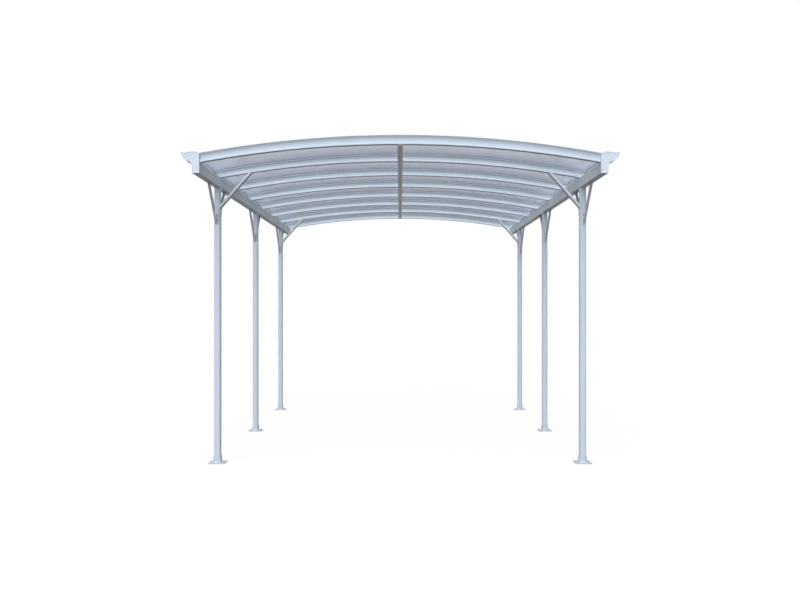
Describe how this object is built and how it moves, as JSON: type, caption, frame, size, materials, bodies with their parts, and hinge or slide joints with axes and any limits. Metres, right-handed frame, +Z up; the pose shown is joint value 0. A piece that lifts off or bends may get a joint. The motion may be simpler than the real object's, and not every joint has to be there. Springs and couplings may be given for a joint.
{
  "type": "carport",
  "caption": "Open carport with slim square posts on bolted feet, arched metal ribs that hold curved translucent roof panels, eave beams with gutters, and folded sheet braces.",
  "frame": {"origin": "on the ground, at the middle of the plan", "axes": "+X to the right seen from the front, +Y along the carport from front to rear, +Z up"},
  "size_m": [3, 5.026, 2.3638],
  "materials": {
    "frame": "satin powder coat",
    "brace": "satin powder coat",
    "strap": "plain mill finish",
    "foot": "satin powder coat",
    "cap": "moulded, fine texture",
    "panel": "translucent twin-wall sheet"
  },
  "bodies": {
    "root": {"post_left_front": "frame", "foot_left_front": "foot", "knee_braces_left_front": "brace", "inner_brace_left_front": "brace", "post_left_middle": "frame", "foot_left_middle": "foot", "knee_braces_left_middle": "brace", "post_left_rear": "frame", "foot_left_rear": "foot", "knee_braces_left_rear": "brace", "inner_brace_left_rear": "brace", "gutter_beam_left": "frame", "end_cap_left_front": "cap", "end_cap_left_rear": "cap", "post_right_front": "frame", "foot_right_front": "foot", "knee_braces_right_front": "brace", "inner_brace_right_front": "brace", "post_right_middle": "frame", "foot_right_middle": "foot", "knee_braces_right_middle": "brace", "post_right_rear": "frame", "foot_right_rear": "foot", "knee_braces_right_rear": "brace", "inner_brace_right_rear": "brace", "gutter_beam_right": "frame", "end_cap_right_front": "cap", "end_cap_right_rear": "cap", "front_arch": "frame", "rib_2": "frame", "rib_3": "frame", "rib_4": "frame", "rib_5": "frame", "rib_6": "frame", "rib_7": "frame", "rear_arch": "frame", "roof_panel_1": "panel", "roof_panel_2": "panel", "roof_panel_3": "panel", "roof_panel_4": "panel", "roof_panel_5": "panel", "roof_panel_6": "panel", "roof_panel_7": "panel", "ridge_strap": "strap"}
  },
  "joints": []
}
